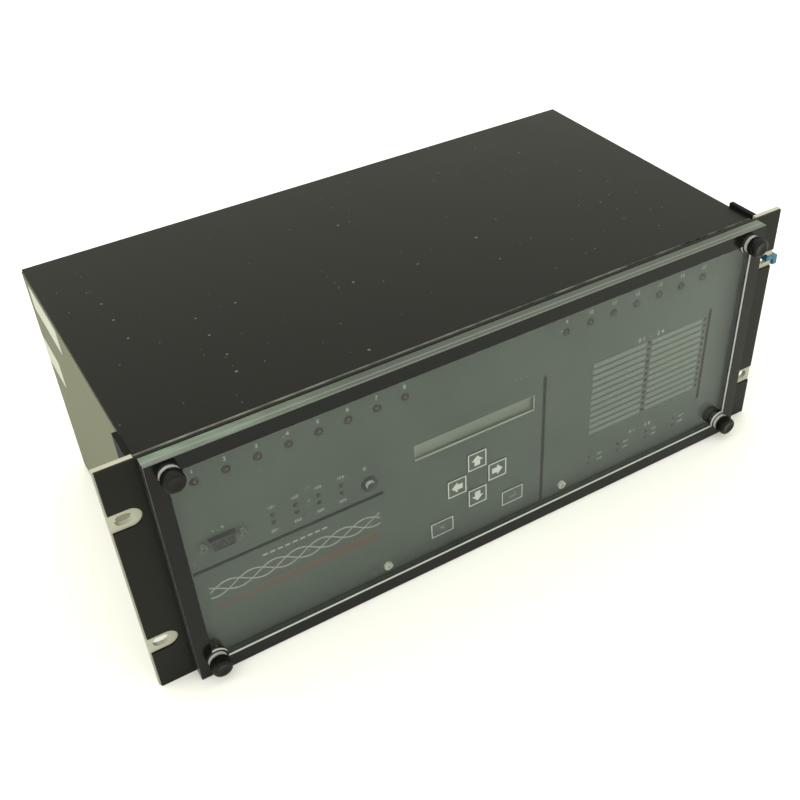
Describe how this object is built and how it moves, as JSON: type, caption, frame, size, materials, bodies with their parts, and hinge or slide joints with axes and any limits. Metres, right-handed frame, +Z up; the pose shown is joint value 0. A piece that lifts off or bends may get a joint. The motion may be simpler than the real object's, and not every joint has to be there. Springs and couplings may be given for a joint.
{
  "type": "protection relay",
  "caption": "Rack-mounted protection relay: black chassis with rack ears, display, keys, indicators and rear terminals behind a clear screw-on dust cover.",
  "frame": {"origin": "centre of the chassis underside", "axes": "+X to the right as seen from the front, +Y to the rear, +Z up"},
  "size_m": [0.4873, 0.2697, 0.1768],
  "materials": {
    "black_paint": "semi-gloss black enamel with a fine orange peel",
    "ear_metal": "pale chromated metal on the flange, black on the leg",
    "black_screw": "black oxide",
    "bright_metal": "bright plated steel",
    "brass": "bare brass",
    "gloss_border": "gloss black border printed on clear sheet",
    "clear_window": "clear acrylic",
    "display_lens": "clear display lens",
    "display": "grey-green liquid crystal",
    "black_plastic": "moulded black plastic",
    "red_lamp": "dark red translucent lens",
    "green_lamp": "dark green translucent lens",
    "pale_label": "pale printed label",
    "circuit_board": "green solder mask",
    "transformer": "varnished winding",
    "ribbon": "grey ribbon cable",
    "blue_nylon": "blue nylon"
  },
  "bodies": {
    "chassis": {"left_side": "black_paint", "right_side": "black_paint", "bottom_cover": "black_paint", "top_cover": "black_paint", "rear_panel": "black_paint", "front_panel": "black_paint", "rack_ear_left": "ear_metal", "rack_ear_right": "ear_metal", "case_screws": "black_screw", "ear_screws": "black_screw", "panel_screws": "bright_metal", "cover_bushes": "bright_metal", "com_shell": "bright_metal", "com_jack_posts": "bright_metal", "board_posts": "bright_metal", "rear_ports": "bright_metal", "terminal_screws": "bright_metal", "ground_stud": "brass", "lcd_lens": "display_lens", "lcd_module": "display", "reset_bush": "black_plastic", "reset_switch": "black_plastic", "com_insert": "black_plastic", "key_switches": "black_plastic", "processor_parts": "black_plastic", "output_relays": "black_plastic", "power_parts": "black_plastic", "terminal_blocks": "black_plastic", "row_leds": "red_lamp", "target_leds": "red_lamp", "status_leds": "green_lamp", "target_labels": "pale_label", "hmi_board": "circuit_board", "led_boards": "circuit_board", "status_board": "circuit_board", "target_board": "circuit_board", "processor_board": "circuit_board", "relay_board": "circuit_board", "power_board": "circuit_board", "input_transformers": "transformer", "display_ribbon": "ribbon", "tag_tie": "blue_nylon"},
    "dust_cover": {"cover_frame": "gloss_border", "cover_window": "clear_window", "cover_collars": "bright_metal"},
    "thumb_screw_1": {"thumb_knob_1": "black_plastic", "thumb_stud_1": "bright_metal"},
    "thumb_screw_2": {"thumb_knob_2": "black_plastic", "thumb_stud_2": "bright_metal"},
    "thumb_screw_3": {"thumb_knob_3": "black_plastic", "thumb_stud_3": "bright_metal"},
    "thumb_screw_4": {"thumb_knob_4": "black_plastic", "thumb_stud_4": "bright_metal"},
    "up_key": {"key_up": "black_plastic"},
    "down_key": {"key_down": "black_plastic"},
    "left_key": {"key_left": "black_plastic"},
    "right_key": {"key_right": "black_plastic"},
    "enter_key": {"key_enter": "black_plastic"},
    "exit_key": {"key_exit": "black_plastic"},
    "reset": {"reset_button": "black_plastic"}
  },
  "joints": [
    {"name": "cover_pull", "type": "slide", "parent": "chassis", "child": "dust_cover", "axis": [0, -1, 0], "range_m": [0, 0.06]},
    {"name": "thumb_screw_1_turn", "type": "hinge", "parent": "dust_cover", "child": "thumb_screw_1", "pos_m": [-0.2053, -0.1271, 0.1666], "axis": [0, 1, 0], "continuous": true},
    {"name": "thumb_screw_2_turn", "type": "hinge", "parent": "dust_cover", "child": "thumb_screw_2", "pos_m": [0.2053, -0.1271, 0.1666], "axis": [0, 1, 0], "continuous": true},
    {"name": "thumb_screw_3_turn", "type": "hinge", "parent": "dust_cover", "child": "thumb_screw_3", "pos_m": [-0.2053, -0.1271, 0.0126], "axis": [0, 1, 0], "continuous": true},
    {"name": "thumb_screw_4_turn", "type": "hinge", "parent": "dust_cover", "child": "thumb_screw_4", "pos_m": [0.2053, -0.1271, 0.0126], "axis": [0, 1, 0], "continuous": true},
    {"name": "up_key_press", "type": "slide", "parent": "chassis", "child": "up_key", "axis": [0, 1, 0], "range_m": [0, 0.0008], "stiffness_N_per_m": 600},
    {"name": "down_key_press", "type": "slide", "parent": "chassis", "child": "down_key", "axis": [0, 1, 0], "range_m": [0, 0.0008], "stiffness_N_per_m": 600},
    {"name": "left_key_press", "type": "slide", "parent": "chassis", "child": "left_key", "axis": [0, 1, 0], "range_m": [0, 0.0008], "stiffness_N_per_m": 600},
    {"name": "right_key_press", "type": "slide", "parent": "chassis", "child": "right_key", "axis": [0, 1, 0], "range_m": [0, 0.0008], "stiffness_N_per_m": 600},
    {"name": "enter_key_press", "type": "slide", "parent": "chassis", "child": "enter_key", "axis": [0, 1, 0], "range_m": [0, 0.0008], "stiffness_N_per_m": 600},
    {"name": "exit_key_press", "type": "slide", "parent": "chassis", "child": "exit_key", "axis": [0, 1, 0], "range_m": [0, 0.0008], "stiffness_N_per_m": 600},
    {"name": "reset_press", "type": "slide", "parent": "chassis", "child": "reset", "axis": [0, 1, 0], "range_m": [0, 0.002], "stiffness_N_per_m": 500}
  ]
}
